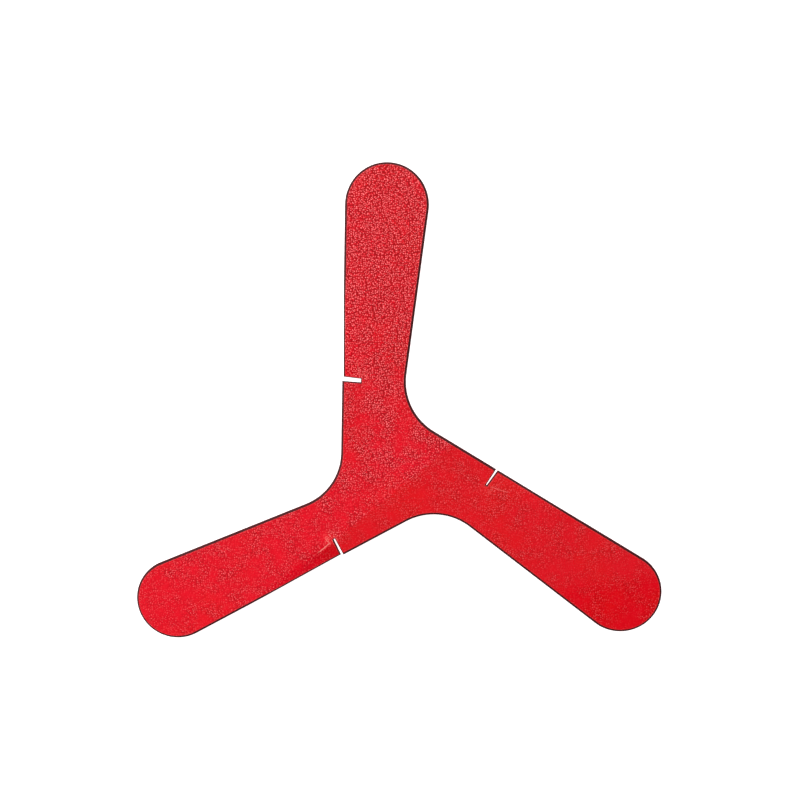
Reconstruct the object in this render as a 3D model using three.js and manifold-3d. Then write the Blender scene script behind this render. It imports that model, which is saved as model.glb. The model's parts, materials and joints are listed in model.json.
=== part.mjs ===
// A three-bladed boomerang die-cut from one sheet of plastic. Millimetres, +Z up.
//
// The sheet has no loose pieces. It moves where it flexes, so it is modelled as the zones on
// either side of each flex line: a hub, and for each blade an arm, the blade itself and the
// flap that a slit frees along the blade's leading edge.
//
// The origin is the centre of the hub's underside, and blade a's tip is on +Y. Seen from above
// the boomerang spins counter-clockwise, so each blade leads with its left-hand edge.

import * as THREE from 'three';
import { mergeVertices } from 'three/addons/utils/BufferGeometryUtils.js';
import Module from 'manifold-3d';

// Sheet
const SPAN = 165; // over two blade tips, outside to outside
const TIP_RADIUS = 12.7; // of a blade's round tip, half its greatest width
const EDGE_TAPER = 6.4; // degrees between a blade's leading and trailing edges
const ROOT_FILLET = 18; // round in the corner between two blades
const THICKNESS = 1;
const EDGE_BREAK = 0.12; // bevel that the die leaves round the outline

// Places along a blade, from the foot of the hub centre on the blade's centreline
const BEND_REACH = 16.5; // line on which an arm flexes up and down
const SLIT_REACH = 26.5; // slit, square to the centreline

// Flap
const SLIT_DEPTH = 5.8; // from the leading edge to the slit's inner end
const FLAP_LENGTH = 29.3; // from the slit to where the crease runs out at the edge

// Flex lines: furthest angle from the flat sheet, and the room that the pieces keep
const BEND_LIMIT = 30; // degrees
const CREASE_LIMIT = 40; // degrees
const CLEARANCE = 0.1; // left between two corners at the limit
const TWIST_GAP = 0.3; // between an arm and its blade

// Each blade: its turn about the hub, its slit's width, and the angle its flap is set to,
// in degrees, down being negative. The further a flap is set, the wider it pulls its slit.
const BLADES = [
  { name: 'a', turn: 0, slitWidth: 1.1, flapSet: -18 },
  { name: 'b', turn: 120, slitWidth: 0.8, flapSet: -15 },
  { name: 'c', turn: 240, slitWidth: 0.6, flapSet: -9 },
];

const ARC_STEPS = 20; // half the straight steps in each round of the outline
const SHEET_LOOK = { color: 0xd5202c, roughness: 0.4, metalness: 0 };

const { degToRad } = THREE.MathUtils;

// Outline, worked out for blade a. The trailing edge, carried on inwards, passes through the
// hub's centre, which sets the lean of both edges from the line between hub and tip.
const tipReach = (SPAN - 2 * TIP_RADIUS) / (2 * Math.cos(degToRad(30)));
const trailingLean = Math.asin(TIP_RADIUS / tipReach);
const leadingLean = trailingLean - degToRad(EDGE_TAPER);
const centreLean = (trailingLean + leadingLean) / 2;

// Blade frame: +Y out along the blade's centreline, +X towards the trailing edge
const centrelineOffset = tipReach * Math.sin(centreLean);
const tipInBladeFrame = tipReach * Math.cos(centreLean);
const halfTaper = degToRad(EDGE_TAPER) / 2;

const bendGap = THICKNESS * Math.tan(degToRad(BEND_LIMIT) / 2) + CLEARANCE;
const creaseGap = THICKNESS * Math.tan(degToRad(CREASE_LIMIT) / 2) + CLEARANCE;

const slitEnd = new THREE.Vector2(leadingEdgeAt(SLIT_REACH) + SLIT_DEPTH, SLIT_REACH);
const creaseEnd = new THREE.Vector2(
  leadingEdgeAt(SLIT_REACH + FLAP_LENGTH),
  SLIT_REACH + FLAP_LENGTH,
);
const creaseLean = Math.atan2(slitEnd.x - creaseEnd.x, creaseEnd.y - slitEnd.y);

// X of the leading edge at a distance along the centreline, in the blade frame
function leadingEdgeAt(reach) {
  return (tipInBladeFrame - reach) * Math.tan(halfTaper) - TIP_RADIUS / Math.cos(halfTaper);
}

function unit(angle) {
  return new THREE.Vector2(Math.cos(angle), Math.sin(angle));
}

// Point that lies at distanceA from the centre along normalA and at distanceB along normalB
function lineMeet(normalA, distanceA, normalB, distanceB) {
  const spread = normalA.cross(normalB);
  return new THREE.Vector2(
    (distanceA * normalB.y - distanceB * normalA.y) / spread,
    (distanceB * normalA.x - distanceA * normalB.x) / spread,
  );
}

// Outline of the whole sheet: a tip arc for each blade, then the fillet into the next one.
// The straight edges are what joins one arc to the next.
function sheetOutline() {
  const outline = new THREE.Shape();
  const third = degToRad(120);
  const leadingOffset = TIP_RADIUS + tipReach * Math.sin(leadingLean);
  for (let blade = 0; blade < 3; blade += 1) {
    const spoke = degToRad(90) + blade * third;
    const tip = unit(spoke).multiplyScalar(tipReach);
    const trailingNormal = spoke - degToRad(90) - trailingLean;
    const leadingNormal = spoke + degToRad(90) - leadingLean;
    outline.absarc(tip.x, tip.y, TIP_RADIUS, trailingNormal, leadingNormal, false);

    const nextTrailingNormal = trailingNormal + third;
    const corner = lineMeet(
      unit(leadingNormal), leadingOffset + ROOT_FILLET,
      unit(nextTrailingNormal), ROOT_FILLET,
    );
    outline.absarc(
      corner.x, corner.y, ROOT_FILLET,
      leadingNormal + Math.PI, nextTrailingNormal + Math.PI, true,
    );
  }
  return outline;
}

const wasm = await Module();
wasm.setup();

function toSolid(geometry) {
  const bare = geometry.clone();
  bare.deleteAttribute('normal');
  bare.deleteAttribute('uv');
  const merged = mergeVertices(bare);
  const mesh = new wasm.Mesh({
    numProp: 3,
    vertProperties: new Float32Array(merged.attributes.position.array),
    triVerts: new Uint32Array(merged.index.array),
  });
  return new wasm.Manifold(mesh);
}

function toGeometry(solid) {
  const { vertProperties, triVerts } = solid.getMesh();
  const geometry = new THREE.BufferGeometry();
  geometry.setAttribute('position', new THREE.BufferAttribute(vertProperties, 3));
  geometry.setIndex(new THREE.BufferAttribute(triVerts, 1));
  geometry.computeVertexNormals();
  return geometry;
}

// Puts an object where blade a's frame is in the row's frame
function placeInBladeFrame(object) {
  object.rotation.z = -centreLean;
  object.position.set(
    -centrelineOffset * Math.cos(centreLean),
    centrelineOffset * Math.sin(centreLean),
    0,
  );
  object.updateMatrix();
}

const bladeFrame = new THREE.Object3D();
placeInBladeFrame(bladeFrame);

// The whole sheet before it is divided, in the blade frame, underside at z 0
function sheetSolid() {
  const geometry = new THREE.ExtrudeGeometry(sheetOutline(), {
    depth: THICKNESS - 2 * EDGE_BREAK,
    curveSegments: ARC_STEPS,
    bevelThickness: EDGE_BREAK,
    bevelSize: EDGE_BREAK,
    bevelOffset: -EDGE_BREAK,
    bevelSegments: 1,
  });
  geometry.translate(0, 0, EDGE_BREAK);
  geometry.applyMatrix4(bladeFrame.matrix.clone().invert());
  return toSolid(geometry);
}

// A block that covers everything on the +Y side of a line through a point. Lean turns the line
// about the point, and offset moves it along its own +Y.
function everythingBeyond(point, lean, offset) {
  const reach = 2 * SPAN;
  const block = new THREE.BoxGeometry(2 * reach, reach, 4 * THICKNESS);
  block.translate(0, offset + reach / 2, 0);
  block.rotateZ(lean);
  block.translate(point.x, point.y, 0);
  return toSolid(block);
}

function beyondReach(reach) {
  return everythingBeyond(new THREE.Vector2(0, reach), 0, 0);
}

// The leading side of the crease line, moved over by a distance towards the leading edge
function leadingSideOfCrease(offset) {
  return everythingBeyond(slitEnd, creaseLean + degToRad(90), offset);
}

const sheet = sheetSolid();

function hubGeometry() {
  const outboard = beyondReach(BEND_REACH - bendGap / 2);
  let solid = sheet;
  for (const { turn } of BLADES) {
    const turned = new THREE.Matrix4().makeRotationZ(degToRad(turn));
    const move = bladeFrame.matrix.clone().invert().multiply(turned).multiply(bladeFrame.matrix);
    solid = solid.subtract(outboard.transform(move.elements));
  }
  return toGeometry(solid.transform(bladeFrame.matrix.elements));
}

// From the bend line to the slit, and on to the twist gap on the trailing side of the slit
function armGeometry(slitWidth) {
  const zone = beyondReach(BEND_REACH + bendGap / 2);
  const blade = beyondReach(SLIT_REACH - TWIST_GAP / 2);
  const slit = beyondReach(SLIT_REACH - slitWidth / 2).intersect(slitSide());
  return toGeometry(sheet.intersect(zone).subtract(blade).subtract(slit));
}

// Everything on the leading side of the slit's inner end
function slitSide() {
  return everythingBeyond(slitEnd, degToRad(90), 0);
}

function bladeGeometry() {
  const zone = beyondReach(SLIT_REACH + TWIST_GAP / 2);
  return toGeometry(sheet.intersect(zone).subtract(leadingSideOfCrease(-creaseGap / 2)));
}

// The flap's origin is the inner end of the crease, halfway through the sheet, with +Y along
// the crease, so that its mesh is set to its angle by a turn about Y
function flapGeometry(slitWidth) {
  const zone = beyondReach(SLIT_REACH + slitWidth / 2);
  const solid = sheet.intersect(zone).intersect(leadingSideOfCrease(creaseGap / 2));
  const geometry = toGeometry(solid);
  geometry.translate(-slitEnd.x, -slitEnd.y, -THICKNESS / 2);
  geometry.rotateZ(-creaseLean);
  return geometry;
}

function sheetMesh(name, geometry) {
  const mesh = new THREE.Mesh(geometry, new THREE.MeshStandardMaterial(SHEET_LOOK));
  mesh.name = name;
  return mesh;
}

// The flap's mesh turns about the crease inside a group that lies along it
function setFlap({ name, slitWidth, flapSet }) {
  const crease = new THREE.Group();
  crease.position.set(slitEnd.x, slitEnd.y, THICKNESS / 2);
  crease.rotation.z = creaseLean;
  const flap = sheetMesh(`flap_${name}`, flapGeometry(slitWidth));
  flap.rotation.y = degToRad(flapSet);
  crease.add(flap);
  return crease;
}

function bladeGroup(blade) {
  const frame = new THREE.Group();
  placeInBladeFrame(frame);
  frame.add(sheetMesh(`arm_${blade.name}`, armGeometry(blade.slitWidth)));
  frame.add(sheetMesh(`blade_${blade.name}`, bladeGeometry()));
  frame.add(setFlap(blade));

  const turned = new THREE.Group();
  turned.rotation.z = degToRad(blade.turn);
  turned.add(frame);
  return turned;
}

const boomerang = new THREE.Group();
boomerang.name = 'boomerang';
boomerang.add(sheetMesh('hub', hubGeometry()));
for (const blade of BLADES) {
  boomerang.add(bladeGroup(blade));
}

export default boomerang;
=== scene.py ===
import json
import math

import bmesh
import bpy
from mathutils import Matrix, Vector
from mathutils.geometry import intersect_line_line


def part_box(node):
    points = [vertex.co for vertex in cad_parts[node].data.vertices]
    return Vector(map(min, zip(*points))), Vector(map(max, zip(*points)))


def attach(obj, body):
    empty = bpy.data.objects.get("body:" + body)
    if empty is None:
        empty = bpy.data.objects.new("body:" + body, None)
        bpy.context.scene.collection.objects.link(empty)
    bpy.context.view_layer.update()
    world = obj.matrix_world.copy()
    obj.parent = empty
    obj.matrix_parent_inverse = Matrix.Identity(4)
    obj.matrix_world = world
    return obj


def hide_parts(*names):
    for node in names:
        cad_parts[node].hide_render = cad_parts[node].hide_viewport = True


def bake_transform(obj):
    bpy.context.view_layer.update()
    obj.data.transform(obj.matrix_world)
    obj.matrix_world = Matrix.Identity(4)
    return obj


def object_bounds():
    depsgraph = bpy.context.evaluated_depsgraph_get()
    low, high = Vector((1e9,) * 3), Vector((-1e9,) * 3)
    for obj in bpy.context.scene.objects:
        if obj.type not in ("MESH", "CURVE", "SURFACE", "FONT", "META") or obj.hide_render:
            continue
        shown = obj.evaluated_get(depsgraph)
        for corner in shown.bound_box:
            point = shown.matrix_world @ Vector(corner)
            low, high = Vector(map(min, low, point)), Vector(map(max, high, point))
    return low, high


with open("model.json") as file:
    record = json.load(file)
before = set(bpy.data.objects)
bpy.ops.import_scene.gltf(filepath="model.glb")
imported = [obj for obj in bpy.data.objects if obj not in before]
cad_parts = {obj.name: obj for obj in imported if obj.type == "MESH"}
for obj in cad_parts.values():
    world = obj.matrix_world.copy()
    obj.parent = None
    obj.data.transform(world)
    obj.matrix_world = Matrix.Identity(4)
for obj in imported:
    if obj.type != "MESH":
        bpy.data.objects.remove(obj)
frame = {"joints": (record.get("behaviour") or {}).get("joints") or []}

cad_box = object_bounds()


# ------------------------------------------------------------------------------------------
# THE BLANK. The whole boomerang is stamped in one stroke out of a red plastic sheet, outline
# and slits together. The die rolls the upper edge over a little and leaves the lower one crisp.
# ------------------------------------------------------------------------------------------

MM = 0.001
HAIR = 0.001 * MM  # closer than this counts as touching
BLADES = {"a": 0, "b": 120, "c": 240}  # each blade's turn about the hub, in degrees
joints = {joint["name"]: joint for joint in frame["joints"]}

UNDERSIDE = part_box("hub")[0].z
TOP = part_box("hub")[1].z
TIP_RADIUS = 12.7 * MM
ROOT_FILLET = 18 * MM
SLIT_MOUTH = {"a": 1.1 * MM, "b": 0.9 * MM, "c": 0.7 * MM}
SLIT_END = {"a": 1.1 * MM, "b": 0.45 * MM, "c": 0.3 * MM}
SLIT_MARGIN = 0.01 * MM  # an edge that lies this close to a slit belongs to it
ROLLOVER = 0.7 * MM  # rounded upper edge
SLIT_ROLLOVER = 0.34 * MM
LOWER_EDGE = 0.08 * MM
ROLLOVER_STEPS = 6
HOLDING_LOOP = 0.2 * MM  # keeps the shading of the rollover off the flat face
TIP_STEPS = 64
FILLET_STEPS = 32

# Blade a points along +Y. Its trailing edge, carried on inwards, meets the hub's centre.
tip_centre = Vector((0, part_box("blade_a")[1].y - TIP_RADIUS, UNDERSIDE))
along = Vector(joints["twist_a"]["axis"])  # out along the blade's centreline
across = Vector((along.y, -along.x, 0))  # towards the trailing edge
trailing_lean = math.asin(TIP_RADIUS / tip_centre.y)
half_taper = trailing_lean - math.atan2(along.x, along.y)
leading_lean = trailing_lean - 2 * half_taper
THIRD = math.radians(120)


def direction(angle):
    return Vector((math.cos(angle), math.sin(angle), 0))


def crossing(point_1, direction_1, point_2, direction_2):
    """Where two lines in the plane of the sheet cross."""
    return intersect_line_line(
        point_1, point_1 + direction_1, point_2, point_2 + direction_2
    )[0]


def start_outline(name, point):
    """A new object with one vertex, left in edit mode: a small plane shrunk to its middle."""
    bpy.ops.object.select_all(action="DESELECT")
    bpy.ops.mesh.primitive_plane_add(size=MM, location=point)
    bpy.ops.object.transform_apply(location=True)
    bpy.context.object.name = name
    bpy.ops.object.mode_set(mode="EDIT")
    bpy.ops.mesh.select_mode(type="VERT")
    bpy.ops.mesh.select_all(action="SELECT")
    bpy.ops.mesh.merge(type="CENTER")


def line_to(point, target):
    """Draws a straight edge from the last vertex and returns where it ends."""
    bpy.ops.mesh.extrude_vertices_move(TRANSFORM_OT_translate={"value": target - point})
    return target


def arc_about(centre, point, angle, steps):
    """Draws an arc from the last vertex, counter-clockwise if the angle is positive."""
    bpy.ops.mesh.spin(steps=steps, angle=angle, center=centre, axis=(0, 0, -1))
    return centre + Matrix.Rotation(angle, 3, "Z") @ (point - centre)


def draw_third(name):
    """One blade's tip, leading edge and slit, and the fillet and edge into the next blade."""
    leading_normal = direction(math.pi - leading_lean)
    next_trailing_normal = direction(THIRD - trailing_lean)
    leading_way = Vector((-leading_normal.y, leading_normal.x, 0))
    next_trailing_way = Vector((-next_trailing_normal.y, next_trailing_normal.x, 0))

    first = tip_centre + TIP_RADIUS * direction(-trailing_lean)
    start_outline(f"blank_{name}", first)
    pen = arc_about(tip_centre, first, math.pi + 2 * half_taper, TIP_STEPS)

    slit_end = Vector(joints["crease_a"]["pos_m"][:2] + [UNDERSIDE])
    mouth = crossing(slit_end, across, pen, leading_way)
    mouth_step = SLIT_MOUTH[name] / 2 / math.cos(half_taper) * leading_way
    pen = line_to(pen, mouth - mouth_step)
    pen = line_to(pen, slit_end + SLIT_END[name] / 2 * along)
    pen = line_to(pen, slit_end - SLIT_END[name] / 2 * along)
    pen = line_to(pen, mouth + mouth_step)

    fillet_centre = crossing(
        mouth + ROOT_FILLET * leading_normal, leading_way,
        ROOT_FILLET * next_trailing_normal + Vector((0, 0, UNDERSIDE)), next_trailing_way,
    )
    pen = line_to(pen, fillet_centre - ROOT_FILLET * leading_normal)
    pen = arc_about(fillet_centre, pen, -THIRD / 2 - 2 * half_taper, FILLET_STEPS)
    line_to(pen, Matrix.Rotation(THIRD, 3, "Z") @ first)
    bpy.ops.object.mode_set(mode="OBJECT")

    third = bpy.context.object
    third.rotation_euler.z = math.radians(BLADES[name])
    bpy.ops.object.transform_apply(rotation=True)
    return third


def level(part, height):
    """Whether all of an edge or a face lies at one height."""
    return all(abs(vertex.co.z - height) < HAIR for vertex in part.verts)


def in_slit(edge):
    """Whether an edge is one of a slit's, rather than part of the outline."""
    middle = (edge.verts[0].co + edge.verts[1].co) / 2
    for name, turn in BLADES.items():
        from_end = Matrix.Rotation(-math.radians(turn), 3, "Z") @ middle
        from_end -= Vector(joints["crease_a"]["pos_m"])
        beside_slit = abs(from_end @ along) < SLIT_MOUTH[name] / 2 + SLIT_MARGIN
        if beside_slit and from_end @ across < SLIT_MARGIN:
            return True
    return False


def edge_round(edge):
    """The size of the round on an edge, as a share of the rollover."""
    if level(edge, UNDERSIDE):
        return LOWER_EDGE / ROLLOVER
    if level(edge, TOP):
        return SLIT_ROLLOVER / ROLLOVER if in_slit(edge) else 1.0
    return 0.0


def stamp_blank():
    thirds = [draw_third(name) for name in BLADES]
    for third in thirds:
        third.select_set(True)
    bpy.ops.object.join()
    blank = bpy.context.object
    blank.name = "blank"

    bpy.ops.object.mode_set(mode="EDIT")
    bpy.ops.mesh.select_all(action="SELECT")
    bpy.ops.mesh.remove_doubles(threshold=HAIR)
    bpy.ops.mesh.edge_face_add()
    bpy.ops.mesh.extrude_region_move(
        TRANSFORM_OT_translate={"value": (0, 0, TOP - UNDERSIDE)}
    )
    bpy.ops.mesh.select_all(action="SELECT")
    bpy.ops.mesh.normals_make_consistent(inside=False)
    sheet = bmesh.from_edit_mesh(blank.data)
    share = sheet.edges.layers.float.new("bevel_weight_edge")
    for edge in sheet.edges:
        edge[share] = edge_round(edge)
    bmesh.update_edit_mesh(blank.data)
    bpy.ops.object.mode_set(mode="OBJECT")

    rounding = blank.modifiers.new("rounding", "BEVEL")
    rounding.limit_method = "WEIGHT"
    rounding.width = ROLLOVER
    rounding.segments = ROLLOVER_STEPS
    rounding.use_clamp_overlap = False
    bpy.ops.object.modifier_apply(modifier=rounding.name)

    bpy.ops.object.mode_set(mode="EDIT")
    for height in (TOP, UNDERSIDE):
        bpy.ops.mesh.select_mode(type="FACE")
        bpy.ops.mesh.select_all(action="DESELECT")
        sheet = bmesh.from_edit_mesh(blank.data)
        for face in sheet.faces:
            face.select_set(level(face, height))
        bmesh.update_edit_mesh(blank.data)
        bpy.ops.mesh.inset(thickness=HOLDING_LOOP)
    bpy.ops.object.mode_set(mode="OBJECT")
    return blank


def add_node(tree, kind, inputs=None, **settings):
    """A shader node with its settings, and each input given a value or linked to a socket."""
    node = tree.nodes.new(kind)
    for key, value in settings.items():
        setattr(node, key, value)
    for key, value in (inputs or {}).items():
        if isinstance(value, bpy.types.NodeSocket):
            tree.links.new(value, node.inputs[key])
        else:
            node.inputs[key].default_value = value
    return node


def maths(tree, operation, first, second=0.0, third=0.0):
    node = add_node(tree, "ShaderNodeMath", {0: first, 1: second, 2: third}, operation=operation)
    return node.outputs["Value"]


def rescale(tree, value, low, high, new_low, new_high):
    """The value moved from one range to another, held inside the new one and eased."""
    node = add_node(
        tree, "ShaderNodeMapRange",
        {"Value": value, 1: low, 2: high, 3: new_low, 4: new_high},
        interpolation_type="SMOOTHSTEP",
    )
    return node.outputs["Result"]


def mix_colour(tree, share, first, second):
    node = add_node(
        tree, "ShaderNodeMix", {0: share, 6: first, 7: second}, data_type="RGBA"
    )
    return node.outputs[2]


def new_group(name, inputs, outputs):
    """An empty node group with its sockets, and its input and output nodes."""
    tree = bpy.data.node_groups.new(name, "ShaderNodeTree")
    for side, sockets in (("INPUT", inputs), ("OUTPUT", outputs)):
        for socket_name, socket_type in sockets.items():
            tree.interface.new_socket(socket_name, in_out=side, socket_type=socket_type)
    return tree, tree.nodes.new("NodeGroupInput"), tree.nodes.new("NodeGroupOutput")


def flat_place(tree):
    """Where a point was in the flat sheet, before any fold."""
    return add_node(tree, "ShaderNodeAttribute", attribute_name="flat_place").outputs["Vector"]


WANDER_SCALE = 500.0  # of the noise that nudges the pips out of line
WANDER_REACH = 1 * MM
PATCH_SCALE = 170.0
GRAIN_AND_GLINT_WAY = (-0.1, 1, 0)  # the grain is crisper this way, towards blade a, and its painted glint and shade stronger
GRAIN_AND_GLINT_RANGE = (-50 * MM, 80 * MM)  # from where the grain is softest to where it is crispest
GLINT_SHARE = 0.35  # how far a crisper pip also gets a brighter painted glint


def make_grain_group():
    """Fine pebble grain embossed by the roller: rounded pips, crisper in some patches, and
    crisper towards blade a than towards blades b and c. Besides the height, it gives painted
    shade in the valleys and a painted glint on the crowns of the crisper pips, stronger towards a."""
    tree, given, result = new_group(
        "pebble_grain_and_painted_light",
        {"Place": "NodeSocketVector", "Pips per metre": "NodeSocketFloat"},
        {"Height": "NodeSocketFloat", "Glint": "NodeSocketFloat", "Valley shade": "NodeSocketFloat"},
    )
    place = given.outputs["Place"]
    wander = add_node(
        tree, "ShaderNodeTexNoise", {"Vector": place, "Scale": WANDER_SCALE, "Detail": 1.0},
        noise_dimensions="2D",
    )
    wandered = add_node(
        tree, "ShaderNodeVectorMath",
        {0: wander.outputs["Color"], 1: (WANDER_REACH, WANDER_REACH, 0), 2: place},
        operation="MULTIPLY_ADD",
    )
    pips = add_node(
        tree, "ShaderNodeTexVoronoi",
        {
            "Vector": wandered.outputs["Vector"],
            "Scale": given.outputs["Pips per metre"],
            "Randomness": 0.7,
        },
        voronoi_dimensions="2D",
    )
    patches = add_node(
        tree, "ShaderNodeTexNoise", {"Vector": place, "Scale": PATCH_SCALE, "Detail": 3.0},
        noise_dimensions="2D",
    )
    along_grain_and_glint_way = add_node(
        tree, "ShaderNodeVectorMath", {0: place, 1: GRAIN_AND_GLINT_WAY}, operation="DOT_PRODUCT"
    )
    # Towards blade a the grain is crisper and its painted glint and valley shade stronger
    grain_and_glint_gradient = rescale(tree, along_grain_and_glint_way.outputs["Value"], *GRAIN_AND_GLINT_RANGE, -0.1, 0.4)
    crispness = maths(tree, "ADD", patches.outputs["Fac"], grain_and_glint_gradient)
    crispness = rescale(tree, crispness, 0.1, 0.95, 0.05, 1.0)

    dome = rescale(tree, pips.outputs["Distance"], 0.1, 0.6, 1.0, 0.0)
    crown = rescale(tree, pips.outputs["Distance"], 0.12, 0.36, 1.0, 0.0)
    # Painted shade: the hollows between the pips are darkened in the colour
    valley_shade = rescale(tree, pips.outputs["Distance"], 0.3, 0.52, 0.0, 1.0)
    chance = add_node(tree, "ShaderNodeSeparateColor", {"Color": pips.outputs["Color"]})
    # Painted glint: the crowns of the crisper pips, and some at random, are lightened in the colour
    glint_strength = maths(tree, "MULTIPLY_ADD", crispness, GLINT_SHARE, chance.outputs[0])
    lit = maths(tree, "MULTIPLY", crown, rescale(tree, glint_strength, 0.25, 1.05, 0.0, 1.0))
    for value, socket in ((dome, "Height"), (lit, "Glint"), (valley_shade, "Valley shade")):
        tree.links.new(maths(tree, "MULTIPLY", value, crispness), result.inputs[socket])
    return tree


def make_handling_group():
    """Signs of handling: clouds of duller rubbing, and fine hairline scratches."""
    tree, given, result = new_group(
        "handling",
        {"Place": "NodeSocketVector"},
        {"Rubbing": "NodeSocketFloat", "Scratches": "NodeSocketFloat"},
    )
    clouds = add_node(
        tree, "ShaderNodeTexNoise",
        {"Vector": given.outputs["Place"], "Scale": 38.0, "Detail": 4.0},
    )
    tree.links.new(
        rescale(tree, clouds.outputs["Fac"], 0.38, 0.68, 0.0, 1.0), result.inputs["Rubbing"]
    )
    scratches = None
    for turn, stretch in ((24, 60.0), (-51, 45.0), (83, 75.0)):
        laid = add_node(
            tree, "ShaderNodeMapping",
            {
                "Vector": given.outputs["Place"],
                "Rotation": (0, 0, math.radians(turn)),
                "Scale": (1.0, stretch, 1.0),
            },
        )
        hairs = add_node(
            tree, "ShaderNodeTexNoise",
            {"Vector": laid.outputs["Vector"], "Scale": 55.0, "Detail": 2.0},
        )
        line = rescale(tree, hairs.outputs["Fac"], 0.69, 0.73, 0.0, 1.0)
        scratches = line if scratches is None else maths(tree, "MAXIMUM", scratches, line)
    tree.links.new(scratches, result.inputs["Scratches"])
    return tree


pebble_grain_and_painted_light = make_grain_group()
handling = make_handling_group()

SHEET_RED = (0.71, 0.0005, 0.013, 1)
ORANGE_RED = (0.74, 0.003, 0.004, 1)
BRIGHT_RED = (0.78, 0.002, 0.017, 1)
# Painted light in the grain: shade in its valleys, then a glint on its crowns
VALLEY_SHADE_RED = (0.18, 0.0003, 0.002, 1)
PAINTED_GLINT_RED = (1.0, 0.24, 0.25, 1)
# A painted highlight along the rim, then near-black painted shade on the rollover and cut wall
RIM_HIGHLIGHT_RED = (0.85, 0.09, 0.1, 1)
EDGE_SHADE_DARK_RED = (0.02, 0.0, 0.0005, 1)
EDGE_SHADE_RED = (0.07, 0.0005, 0.002, 1)
RIM_HIGHLIGHT_SHARE = 0.3
RUBBED_DULLING = 0.06  # added to the roughness
SCRATCH_DULLING = 0.12
SCRATCH_DEPTH = 0.12  # as a share of the grain's height


def make_sheet_material(name, pip_size, emboss, roughness):
    """Pigmented plastic with an embossed grain under a thin gloss."""
    material = bpy.data.materials.new(name)
    material.use_nodes = True
    tree = material.node_tree
    shader = tree.nodes["Principled BSDF"]
    place = flat_place(tree)
    grain = add_node(tree, "ShaderNodeGroup", node_tree=pebble_grain_and_painted_light)
    tree.links.new(place, grain.inputs["Place"])
    grain.inputs["Pips per metre"].default_value = 1 / pip_size
    marks = add_node(tree, "ShaderNodeGroup", node_tree=handling)
    tree.links.new(place, marks.inputs["Place"])

    streaks = add_node(tree, "ShaderNodeTexNoise", {"Vector": place, "Scale": 42.0, "Detail": 3.0})
    warmth = rescale(tree, streaks.outputs["Fac"], 0.45, 0.7, 0.0, 0.6)
    pigment = add_node(tree, "ShaderNodeTexNoise", {"Vector": place, "Scale": 620.0, "Detail": 3.0})
    speckle = rescale(tree, pigment.outputs["Fac"], 0.42, 0.72, 0.0, 0.6)
    red = mix_colour(tree, warmth, SHEET_RED, ORANGE_RED)
    red = mix_colour(tree, speckle, red, BRIGHT_RED)
    # Painted shade darkens the valleys between the pips
    red = mix_colour(tree, maths(tree, "MULTIPLY", grain.outputs["Valley shade"], 0.8), red, VALLEY_SHADE_RED)
    # A painted glint lightens the crowns of the crisper pips
    red = mix_colour(tree, grain.outputs["Glint"], red, PAINTED_GLINT_RED)
    tree.links.new(red, shader.inputs["Base Color"])

    dull = maths(tree, "MULTIPLY_ADD", marks.outputs["Rubbing"], RUBBED_DULLING, roughness)
    dull = maths(tree, "MULTIPLY_ADD", marks.outputs["Scratches"], SCRATCH_DULLING, dull)
    tree.links.new(dull, shader.inputs["Roughness"])
    height = maths(
        tree, "MULTIPLY_ADD", marks.outputs["Scratches"], -SCRATCH_DEPTH, grain.outputs["Height"]
    )
    bump = add_node(tree, "ShaderNodeBump", {"Height": height, "Distance": emboss})
    tree.links.new(bump.outputs["Normal"], shader.inputs["Normal"])
    shader.inputs["Specular IOR Level"].default_value = 0.04
    shader.inputs["Coat Weight"].default_value = 0.35
    shader.inputs["Coat Roughness"].default_value = 0.06
    return material


def lay_over(material, share, colour):
    """Mixes a share of another colour into a sheet material's red."""
    tree = material.node_tree
    red_input = tree.nodes["Principled BSDF"].inputs["Base Color"]
    tree.links.new(mix_colour(tree, share, red_input.links[0].from_socket, colour), red_input)


def make_painted_shade_edge_material():
    """The rollover and the sheared wall of raw plastic, painted near-black as the shade along the
    outline, with the fine upright drag of the die.
    """
    material = bpy.data.materials.new("painted_shade_edge")
    material.use_nodes = True
    tree = material.node_tree
    shader = tree.nodes["Principled BSDF"]
    upright = add_node(
        tree, "ShaderNodeMapping", {"Vector": flat_place(tree), "Scale": (1.0, 1.0, 0.08)}
    )
    drag = add_node(
        tree, "ShaderNodeTexNoise",
        {"Vector": upright.outputs["Vector"], "Scale": 2600.0, "Detail": 3.0},
    )
    tree.links.new(
        mix_colour(tree, drag.outputs["Fac"], EDGE_SHADE_DARK_RED, EDGE_SHADE_RED),
        shader.inputs["Base Color"],
    )
    tree.links.new(
        rescale(tree, drag.outputs["Fac"], 0.3, 0.7, 0.5, 0.7), shader.inputs["Roughness"]
    )
    bump = add_node(
        tree, "ShaderNodeBump", {"Height": drag.outputs["Fac"], "Distance": 0.03 * MM}
    )
    tree.links.new(bump.outputs["Normal"], shader.inputs["Normal"])
    shader.inputs["Specular IOR Level"].default_value = 0.2
    return material


upper_face = make_sheet_material(
    "upper_face", pip_size=0.56 * MM, emboss=0.1 * MM, roughness=0.3
)
lower_face = make_sheet_material(
    "lower_face", pip_size=0.45 * MM, emboss=0.015 * MM, roughness=0.42
)
painted_shade_edge = make_painted_shade_edge_material()
rim_painted_highlight = upper_face.copy()  # the upper face again, with a painted highlight along the rim
rim_painted_highlight.name = "rim_painted_highlight"
lay_over(rim_painted_highlight, RIM_HIGHLIGHT_SHARE, RIM_HIGHLIGHT_RED)

LARGE_FACE = 1000 * MM ** 2  # larger than any face in the ring round the flat upper face
EDGE_SLOPE = 0.999  # a face whose normal rises less than this, on the rollover or cut wall, is painted near-black as shade

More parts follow.
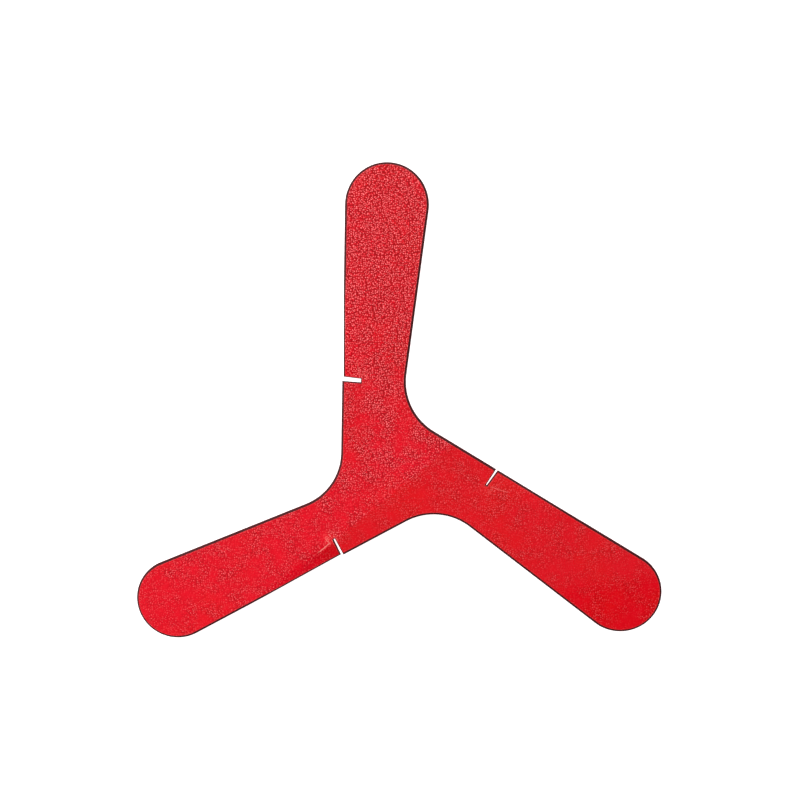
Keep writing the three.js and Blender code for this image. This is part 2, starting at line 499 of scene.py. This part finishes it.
blank = stamp_blank()
for finish in (upper_face, painted_shade_edge, lower_face, rim_painted_highlight):
    blank.data.materials.append(finish)
for polygon in blank.data.polygons:
    # The rollover and the walls are painted near-black as the shade of the outline
    if abs(polygon.normal.z) < EDGE_SLOPE:
        polygon.material_index = 1
    elif polygon.normal.z < 0:
        polygon.material_index = 2
    # The narrow ring inside the rollover gets the painted highlight
    elif polygon.area < LARGE_FACE:
        polygon.material_index = 3


# ------------------------------------------------------------------------------------------
# THE HUB. The flat middle of the sheet, where the three arms meet. It carries no fitting and
# stays flat; the arms start to flex at its three short stubs.
# ------------------------------------------------------------------------------------------

BEND_ZONE = 8 * MM  # length of arm over which a blade flexes up and down
SMOOTH_ANGLE = math.radians(40)  # sharper edges are shaded as edges


def joint_place(name):
    return Vector(joints[name]["pos_m"])


def way_out(blade):
    """Out along a blade's centreline."""
    return Vector(joints[f"twist_{blade}"]["axis"])


def bend_start(blade):
    return joint_place(f"bend_{blade}") - BEND_ZONE / 2 * way_out(blade)


def bend_end(blade):
    return joint_place(f"bend_{blade}") + BEND_ZONE / 2 * way_out(blade)


def cut_from_blank(name, *cuts):
    """A copy of the blank, trimmed by each cut: a point, and the way to the side that is kept."""
    piece = blank.copy()
    piece.data = blank.data.copy()
    piece.name = piece.data.name = name
    bpy.context.collection.objects.link(piece)
    bpy.ops.object.select_all(action="DESELECT")
    piece.select_set(True)
    bpy.context.view_layer.objects.active = piece
    bpy.ops.object.mode_set(mode="EDIT")
    for point, kept in cuts:
        bpy.ops.mesh.select_all(action="SELECT")
        bpy.ops.mesh.bisect(
            plane_co=point, plane_no=kept, use_fill=True, clear_inner=True, threshold=HAIR
        )
    bpy.ops.object.mode_set(mode="OBJECT")
    bpy.ops.object.shade_smooth_by_angle(angle=SMOOTH_ANGLE)
    return piece


def remember_flat(piece):
    """Stores each vertex's place in the flat sheet, where the grain is laid."""
    flat = piece.data.attributes.new("flat_place", "FLOAT_VECTOR", "POINT")
    for vertex, place in zip(piece.data.vertices, flat.data):
        place.vector = vertex.co


hub = cut_from_blank("hub_sheet", *[(bend_start(blade), -way_out(blade)) for blade in BLADES])
remember_flat(hub)
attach(hub, "hub")
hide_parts("hub")


# ------------------------------------------------------------------------------------------
# THE ARM ROOTS. The first stretch of each arm, the same sheet as the hub. It flexes up and
# down as a flat spring, so it is divided into narrow rows across it.
# ------------------------------------------------------------------------------------------

BEND_ROWS = 12


def add_rows(piece, start, end, count):
    """Cuts rows across a piece, square to the line from start to end, without parting it."""
    bpy.ops.object.mode_set(mode="EDIT")
    for row in range(1, count):
        bpy.ops.mesh.select_all(action="SELECT")
        row_start = start.lerp(end, row / count)
        bpy.ops.mesh.bisect(plane_co=row_start, plane_no=end - start, threshold=HAIR)
    bpy.ops.object.mode_set(mode="OBJECT")


for blade in BLADES:
    root = cut_from_blank(
        f"arm_root_{blade}",
        (bend_start(blade), way_out(blade)), (bend_end(blade), -way_out(blade)),
    )
    add_rows(root, bend_start(blade), bend_end(blade), BEND_ROWS)
    remember_flat(root)
    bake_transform(root)
    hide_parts(f"arm_{blade}")


# ------------------------------------------------------------------------------------------
# THE NECKS. The narrow stretch from there to the slit, where the sheet is weakest. It twists,
# and ends in the inboard wall of the slit.
# ------------------------------------------------------------------------------------------

TWIST_ROWS = 12
TWIST_END = 0.6 * MM  # flat stretch left next to the slit


def slit_line(blade):
    return joint_place(f"twist_{blade}")


for blade in BLADES:
    twist_end = slit_line(blade) - TWIST_END * way_out(blade)
    neck = cut_from_blank(
        f"neck_{blade}",
        (bend_end(blade), way_out(blade)), (slit_line(blade), -way_out(blade)),
    )
    add_rows(neck, bend_end(blade), twist_end, TWIST_ROWS)
    remember_flat(neck)
    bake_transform(neck)
    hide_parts(f"arm_{blade}")


# ------------------------------------------------------------------------------------------
# THE BLADES. Tapered paddles of the same sheet with round tips, from the slit outwards, less
# the flap along the leading edge.
# ------------------------------------------------------------------------------------------

FOLD_ZONE = 1.8 * MM  # width of sheet that curves at a flap's crease


def way_over_crease(blade):
    """Square to a flap's crease, from the blade towards the flap."""
    crease_way = Vector(joints[f"crease_{blade}"]["axis"])
    return Vector((-crease_way.y, crease_way.x, 0))


def fold_start(blade):
    return joint_place(f"crease_{blade}") - FOLD_ZONE / 2 * way_over_crease(blade)


def fold_end(blade):
    return joint_place(f"crease_{blade}") + FOLD_ZONE / 2 * way_over_crease(blade)


for blade in BLADES:
    paddle = cut_from_blank(
        f"paddle_{blade}",
        (slit_line(blade), way_out(blade)), (fold_start(blade), -way_over_crease(blade)),
    )
    remember_flat(paddle)
    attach(paddle, f"blade_{blade}")
    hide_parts(f"blade_{blade}")


# ------------------------------------------------------------------------------------------
# THE FLAPS. The corner of each leading edge that its slit frees, creased by hand and left
# drooping. The plastic is blanched round the slit's inner end; along the crease runs a painted
# highlight, and the flap's corner beside it is painted darker as shade.
# ------------------------------------------------------------------------------------------

FLAP_DROOP = {"a": 18, "b": 15, "c": 9}  # degrees
CREASE_BLANCHING_AND_PAINTED_LIGHT = {"a": 0.25, "b": 1.0, "c": 0.25}  # how strongly each crease's blanching, painted highlight and painted shade are laid on
FOLD_ROWS = 8
# Painted shade for the flap's corner; a pink that is blanching at the slit's end and a painted
# highlight along the crease
PAINTED_SHADE_RED = (0.56, 0.0005, 0.001, 1)
BLANCHED_AND_HIGHLIGHT_PINK = (0.95, 0.28, 0.24, 1)

# The marks of creasing, with the painted highlight and shade there, over the crease (X) and
# out along it (Y) from the slit's inner end.
# Each range runs from where a mark starts to fade to where it is gone, or the other way about.
WAVER = 0.5 * MM
LINE_OVER = 0.2 * MM
LINE_HALF_WIDTH = (0.05 * MM, 0.28 * MM)
LINE_START = (2 * MM, 2.5 * MM)
LINE_END = (5.5 * MM, 7.8 * MM)
NIP_OVER = 0.9 * MM
NIP_OUT = 2.2 * MM
NIP_HALF_WIDTH = (0.05 * MM, 0.25 * MM)
NIP_HALF_LENGTH = (0.9 * MM, 1.3 * MM)
PATCH_CENTRE = (1 * MM, 0.6 * MM, 0)
PATCH_RADIUS = (1 * MM, 3.2 * MM)
# Where the painted shade lies on the flap
PAINTED_SHADE_OVER = (-0.6 * MM, 0.0)
PAINTED_SHADE_OUT = (4 * MM, 12 * MM)


def make_crease_group():
    """Marks of creasing, with Y out along the crease from the slit's inner end and the flap on
    the side of negative X: a line along the crease and a short dash across it that are a painted
    highlight, a blanched patch at the slit's end, and painted shade on the flap's corner beside
    them."""
    tree, given, result = new_group(
        "crease_marks_and_painted_light",
        {"Place": "NodeSocketVector"},
        {"Blanching and painted highlight": "NodeSocketFloat", "Painted shade": "NodeSocketFloat"},
    )
    place = given.outputs["Place"]
    waver = add_node(tree, "ShaderNodeTexNoise", {"Vector": place, "Scale": 1100.0})
    shaken = add_node(
        tree, "ShaderNodeVectorMath",
        {0: waver.outputs["Color"], 1: (WAVER, WAVER, 0), 2: place},
        operation="MULTIPLY_ADD",
    )
    parts = add_node(tree, "ShaderNodeSeparateXYZ", {"Vector": shaken.outputs["Vector"]})
    over, out = parts.outputs["X"], parts.outputs["Y"]

    # The line along the crease and the dash across it are a painted highlight
    from_line = maths(tree, "ABSOLUTE", maths(tree, "SUBTRACT", over, LINE_OVER))
    line = rescale(tree, from_line, *LINE_HALF_WIDTH, 1.0, 0.0)
    line = maths(tree, "MULTIPLY", line, rescale(tree, out, *LINE_START, 0.0, 1.0))
    line = maths(tree, "MULTIPLY", line, rescale(tree, out, *LINE_END, 1.0, 0.0))

    from_nip = maths(tree, "ABSOLUTE", maths(tree, "SUBTRACT", out, NIP_OUT))
    nip = rescale(tree, from_nip, *NIP_HALF_WIDTH, 0.7, 0.0)
    nip_reach = maths(tree, "ABSOLUTE", maths(tree, "SUBTRACT", over, NIP_OVER))
    nip = maths(tree, "MULTIPLY", nip, rescale(tree, nip_reach, *NIP_HALF_LENGTH, 1.0, 0.0))

    radius = add_node(
        tree, "ShaderNodeVectorMath", {0: place, 1: PATCH_CENTRE}, operation="DISTANCE"
    )
    flecks = add_node(tree, "ShaderNodeTexNoise", {"Vector": place, "Scale": 2300.0})
    patch = rescale(tree, flecks.outputs["Fac"], 0.5, 0.6, 0.0, 1.0)
    patch = maths(
        tree, "MULTIPLY", patch, rescale(tree, radius.outputs["Value"], *PATCH_RADIUS, 0.6, 0.0)
    )
    blanching_and_highlight = maths(tree, "MAXIMUM", maths(tree, "MAXIMUM", line, nip), patch)
    tree.links.new(blanching_and_highlight, result.inputs["Blanching and painted highlight"])

    # Painted shade on the flap's corner beside the crease, near the slit's inner end
    painted_shade = rescale(tree, over, *PAINTED_SHADE_OVER, 1.0, 0.0)
    painted_shade = maths(tree, "MULTIPLY", painted_shade, rescale(tree, out, *PAINTED_SHADE_OUT, 1.0, 0.0))
    tree.links.new(painted_shade, result.inputs["Painted shade"])
    return tree


crease_marks_and_painted_light = make_crease_group()


def mark_crease(material, blade):
    """Lays the marks of one crease, with its painted highlight and painted shade, over a sheet
    material's colour.
    """
    tree = material.node_tree
    crease = joints[f"crease_{blade}"]
    turn = math.atan2(-crease["axis"][0], crease["axis"][1])
    from_slit = add_node(
        tree, "ShaderNodeMapping",
        {"Vector": flat_place(tree), "Location": crease["pos_m"], "Rotation": (0, 0, turn)},
        vector_type="TEXTURE",
    )
    marks = add_node(tree, "ShaderNodeGroup", node_tree=crease_marks_and_painted_light)
    tree.links.new(from_slit.outputs["Vector"], marks.inputs["Place"])
    # Painted shade darkens the flap's corner beside the crease
    painted_shade = maths(tree, "MULTIPLY", marks.outputs["Painted shade"], 0.45 * CREASE_BLANCHING_AND_PAINTED_LIGHT[blade])
    lay_over(material, painted_shade, PAINTED_SHADE_RED)
    # Blanching round the slit's end, and a painted highlight along the crease
    blanching_and_highlight = maths(tree, "MULTIPLY", marks.outputs["Blanching and painted highlight"], 0.7 * CREASE_BLANCHING_AND_PAINTED_LIGHT[blade])
    lay_over(material, blanching_and_highlight, BLANCHED_AND_HIGHLIGHT_PINK)


for blade in BLADES:
    for finish in (upper_face, rim_painted_highlight, lower_face):
        mark_crease(finish, blade)


def fold_flap(piece, blade):
    """Bends the flap down row by row about lines along the crease."""
    start, end = fold_start(blade), fold_end(blade)
    over = way_over_crease(blade)
    axis = Vector(joints[f"crease_{blade}"]["axis"])
    step = math.radians(FLAP_DROOP[blade]) / FOLD_ROWS
    for row in reversed(range(FOLD_ROWS)):
        pivot = start.lerp(end, (row + 0.5) / FOLD_ROWS)
        turn = Matrix.Rotation(-step, 3, axis)
        for vertex in piece.data.vertices:
            if (vertex.co - pivot) @ over > 0:
                vertex.co = pivot + turn @ (vertex.co - pivot)


for blade in BLADES:
    flap = cut_from_blank(
        f"leading_flap_{blade}",
        (slit_line(blade), way_out(blade)), (fold_start(blade), way_over_crease(blade)),
    )
    add_rows(flap, fold_start(blade), fold_end(blade), FOLD_ROWS)
    remember_flat(flap)
    fold_flap(flap, blade)
    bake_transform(flap)
    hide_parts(f"flap_{blade}")

bpy.data.objects.remove(blank)


# ------------------------------------------------------------------------------------------
# THE STUDIO. A light table of white acrylic, a bright softbox beyond the upper blade, one on
# either side, and a large dim panel overhead, whose mirrored edge lies across blade c's tip.
# ------------------------------------------------------------------------------------------

TABLE_WIDTH = 4  # metres
TABLE_GAP = 0.1 * MM  # below the lowest point, so that no two surfaces meet

bpy.ops.object.select_all(action="DESELECT")
bpy.ops.mesh.primitive_plane_add(size=TABLE_WIDTH, location=(0, 0, cad_box[0].z - TABLE_GAP))
floor = bpy.context.object
floor.name = "light_table"
bpy.ops.object.transform_apply(location=True)
acrylic = bpy.data.materials.new("white_acrylic")
acrylic.use_nodes = True
acrylic_shader = acrylic.node_tree.nodes["Principled BSDF"]
acrylic_shader.inputs["Base Color"].default_value = (0.6, 0.6, 0.6, 1)
acrylic_shader.inputs["Roughness"].default_value = 0.8
acrylic_shader.inputs["Specular IOR Level"].default_value = 0.2
acrylic_shader.inputs["Emission Color"].default_value = (1, 1, 1, 1)
acrylic_shader.inputs["Emission Strength"].default_value = 1.0
floor.data.materials.append(acrylic)


def facing(place, aim, rightward):
    """Stands at a place and looks at the aim, its own X turned as near to rightward as it can."""
    backward = (Vector(place) - Vector(aim)).normalized()
    upward = backward.cross(rightward).normalized()
    turned = Matrix((upward.cross(backward), upward, backward)).transposed()
    return Matrix.Translation(place) @ turned.to_4x4()


def add_softbox(name, place, aim, width, depth, radiance, turn=0):
    """A rectangular light, its width turned from X by an angle in degrees."""
    light = bpy.data.lights.new(name, "AREA")
    light.shape = "RECTANGLE"
    light.size, light.size_y = width, depth
    light.energy = radiance * math.pi * width * depth
    box = bpy.data.objects.new(name, light)
    box.matrix_world = facing(place, aim, direction(math.radians(turn)))
    bpy.context.collection.objects.link(box)


HUB = (0, 0, 0)
add_softbox("softbox_beyond", (-0.05, 0.58, 0.75), HUB, 0.8, 0.55, radiance=6.3)
add_softbox("softbox_left", (-0.75, 0.1, 0.45), HUB, 0.6, 0.5, radiance=5.6)
add_softbox("softbox_right", (1.0, -0.1, 0.55), HUB, 0.6, 0.5, radiance=0.9)
add_softbox("panel_overhead", (0, 0.02, 0.75), (0, 0.02, 0), 0.95, 0.6, radiance=0.42, turn=7)

world = bpy.data.worlds.new("studio")
world.use_nodes = True
backdrop = world.node_tree.nodes["Background"]
backdrop.inputs["Color"].default_value = (1, 1, 1, 1)
# The walls are as white as the table to look at, but throw little light on the boomerang
WALL_LIGHT = 0.12
seen = add_node(world.node_tree, "ShaderNodeLightPath").outputs["Is Camera Ray"]
brightness = maths(world.node_tree, "MULTIPLY_ADD", seen, 1 - WALL_LIGHT, WALL_LIGHT)
world.node_tree.links.new(brightness, backdrop.inputs["Strength"])
bpy.context.scene.world = world
bpy.context.scene.view_settings.view_transform = "Standard"

CAMERA_PLACE = Vector((12.8, 53.3, 306.3)) * MM
CAMERA_AIM = Vector((2.5, 21.4, 1)) * MM
CAMERA_ROLL = math.radians(-1.24)
camera = bpy.data.cameras.new("camera")
camera.lens = 45
camera_object = bpy.data.objects.new("camera", camera)
camera_object.matrix_world = facing(CAMERA_PLACE, CAMERA_AIM, direction(CAMERA_ROLL))
bpy.context.collection.objects.link(camera_object)
bpy.context.scene.camera = camera_object
